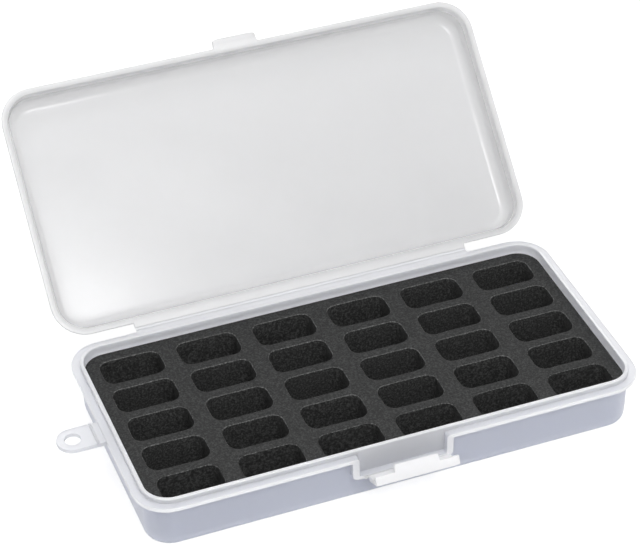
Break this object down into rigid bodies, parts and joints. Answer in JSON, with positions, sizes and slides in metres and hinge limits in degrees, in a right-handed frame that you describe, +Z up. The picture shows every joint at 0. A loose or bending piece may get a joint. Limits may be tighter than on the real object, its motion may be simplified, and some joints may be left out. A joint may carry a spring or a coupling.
{
  "type": "hinged storage case with pocketed foam insert",
  "caption": "Flat frosted case with a living-hinge lid standing open, a fold-over front latch, an end hang tab and a foam insert cut with rounded pockets.",
  "frame": {"origin": "centre of the tray's flat underside, which is what the case stands on", "axes": "+X along the case's length, away from the hang tab; +Y from the latch to the hinge; +Z up"},
  "size_m": [0.191, 0.1725, 0.0828],
  "materials": {
    "frosted_pp": "frosted natural polypropylene, satin",
    "black_foam": "closed-cell foam, fine cellular surface"
  },
  "bodies": {
    "case": {"tray_shell": "frosted_pp", "hang_tab": "frosted_pp", "latch_web": "frosted_pp", "latch_film": "frosted_pp", "living_hinge": "frosted_pp", "foam_base": "black_foam", "foam_grid": "black_foam"},
    "lid": {"lid_shell": "frosted_pp", "lid_tongue": "frosted_pp"},
    "latch": {"latch_flap": "frosted_pp"}
  },
  "joints": [
    {"name": "lid_hinge", "type": "hinge", "parent": "case", "child": "lid", "pos_m": [0, 0.04615, 0.01875], "axis": [1, 0, 0], "range_deg": [-43.3, 136.7], "deforming": ["living_hinge"]},
    {"name": "latch_fold", "type": "hinge", "parent": "case", "child": "latch", "pos_m": [0, -0.0478, 0.0144], "axis": [-1, 0, 0], "range_deg": [-50, 65], "deforming": ["latch_film"]}
  ]
}
